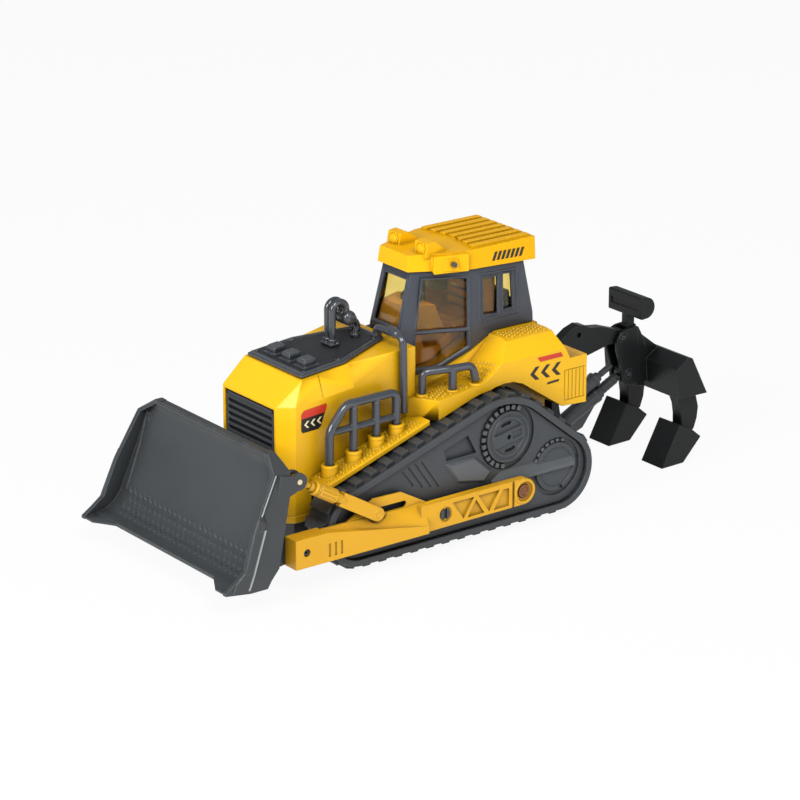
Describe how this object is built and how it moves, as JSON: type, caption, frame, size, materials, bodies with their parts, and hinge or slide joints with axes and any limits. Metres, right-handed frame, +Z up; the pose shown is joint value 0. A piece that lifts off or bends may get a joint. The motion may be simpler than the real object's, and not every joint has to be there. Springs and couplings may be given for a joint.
{
  "type": "toy bulldozer",
  "caption": "Toy crawler bulldozer with a lifting and tilting front blade, a parallelogram rear ripper, moulded tracks and a hidden friction drive.",
  "frame": {"origin": "centre of the bounding box, on the floor the wheels stand on", "axes": "+X forward towards the blade, +Y towards the toy's own left side, +Z up"},
  "size_m": [0.3906, 0.1502, 0.174],
  "materials": {
    "yellow": "satin bright yellow ABS",
    "arm_yellow": "satin orange-yellow ABS",
    "slate": "fine-grained dark grey ABS",
    "black": "satin black ABS",
    "track": "satin charcoal ABS",
    "cab_frame": "satin blue-grey ABS",
    "amber_glass": "clear amber styrene",
    "brown": "dark brown seat moulding",
    "cream": "natural cream pin",
    "steel": "drawn steel pin stock",
    "wheel": "black rubber",
    "gear": "natural white acetal"
  },
  "bodies": {
    "vehicle": {"arm_pin_left": "track", "arm_pin_right": "track", "body_shell": "yellow", "cab_frame": "cab_frame", "cab_glazing": "amber_glass", "cab_interior": "brown", "cab_roof": "yellow", "chassis_tub": "black", "exhaust_hoop": "cab_frame", "front_deck_left": "yellow", "front_deck_right": "yellow", "gearbox": "gear", "grab_rail_left": "cab_frame", "grab_rail_right": "cab_frame", "grille": "black", "guard_rail_left": "cab_frame", "guard_rail_right": "cab_frame", "hand_rail_left": "cab_frame", "hand_rail_right": "cab_frame", "hood_cover": "black", "hood_shell": "yellow", "ripper_mount": "black", "ripper_pin_lower_front": "steel", "ripper_pin_upper_front": "steel", "track_belt_left": "track", "track_belt_right": "track", "track_rim_left": "track", "track_rim_right": "track", "track_cover_left": "track", "track_cover_right": "track", "track_frame_left": "track", "track_frame_right": "track"},
    "lift_arms": {"push_arm_left": "arm_yellow", "push_arm_right": "arm_yellow", "tilt_pin_left": "black", "tilt_pin_right": "black"},
    "blade": {"blade": "slate", "strut_pin_left": "cream", "strut_pin_right": "cream"},
    "strut_left": {"strut_left": "arm_yellow"},
    "strut_right": {"strut_right": "arm_yellow"},
    "front_axle": {"axle_front": "steel", "wheel_front_left": "wheel", "wheel_front_right": "wheel"},
    "rear_axle": {"axle_rear": "steel", "wheel_rear_left": "wheel", "wheel_rear_right": "wheel", "drive_gear": "gear"},
    "flywheel": {"flywheel": "steel"},
    "ripper_lower": {"ripper_lower_link": "black", "ripper_cylinder": "slate"},
    "ripper_upper": {"ripper_upper_link": "black"},
    "ripper": {"ripper_frame": "black", "ripper_shank_left": "black", "ripper_shank_right": "black", "ripper_pin_lower_rear": "steel", "ripper_pin_upper_rear": "steel"}
  },
  "joints": [
    {"name": "blade_lift", "type": "hinge", "parent": "vehicle", "child": "lift_arms", "pos_m": [-0.02227, 0, 0.0272], "axis": [0, -1, 0], "range_deg": [-4, 8]},
    {"name": "blade_pitch", "type": "hinge", "parent": "lift_arms", "child": "blade", "pos_m": [0.13673, 0, 0.0275], "axis": [0, -1, 0], "range_deg": [0, 6]},
    {"name": "strut_left_pivot", "type": "hinge", "parent": "blade", "child": "strut_left", "pos_m": [0.14153, 0.0666, 0.0713], "axis": [0, -1, 0], "range_deg": [-6, 0]},
    {"name": "strut_right_pivot", "type": "hinge", "parent": "blade", "child": "strut_right", "pos_m": [0.14153, -0.0666, 0.0713], "axis": [0, -1, 0], "range_deg": [-6, 0]},
    {"name": "ripper_lift", "type": "hinge", "parent": "vehicle", "child": "ripper_lower", "pos_m": [-0.09667, 0, 0.0268], "axis": [0, 1, 0], "range_deg": [-7.65, 8]},
    {"name": "ripper_upper_pivot", "type": "hinge", "parent": "vehicle", "child": "ripper_upper", "pos_m": [-0.09167, 0, 0.0516], "axis": [0, 1, 0], "range_deg": [-7.65, 8]},
    {"name": "ripper_level", "type": "hinge", "parent": "ripper_lower", "child": "ripper", "pos_m": [-0.15513, 0, 0.05589], "axis": [0, 1, 0], "range_deg": [-8, 7.65]},
    {"name": "front_axle_spin", "type": "hinge", "parent": "vehicle", "child": "front_axle", "pos_m": [0.07633, 0, 0.014], "axis": [0, 1, 0], "continuous": true},
    {"name": "rear_axle_spin", "type": "hinge", "parent": "vehicle", "child": "rear_axle", "pos_m": [-0.04367, 0, 0.014], "axis": [0, 1, 0], "continuous": true},
    {"name": "flywheel_spin", "type": "hinge", "parent": "vehicle", "child": "flywheel", "pos_m": [-0.03924, 0, 0.02166], "axis": [0, 1, 0], "continuous": true}
  ],
  "couplings": [
    {"joint": "strut_left_pivot", "follows": "blade_pitch", "ratio": -0.955},
    {"joint": "strut_right_pivot", "follows": "blade_pitch", "ratio": -0.955},
    {"joint": "ripper_upper_pivot", "follows": "ripper_lift", "ratio": 1},
    {"joint": "ripper_level", "follows": "ripper_lift", "ratio": -1},
    {"joint": "flywheel_spin", "follows": "rear_axle_spin", "ratio": -2}
  ]
}
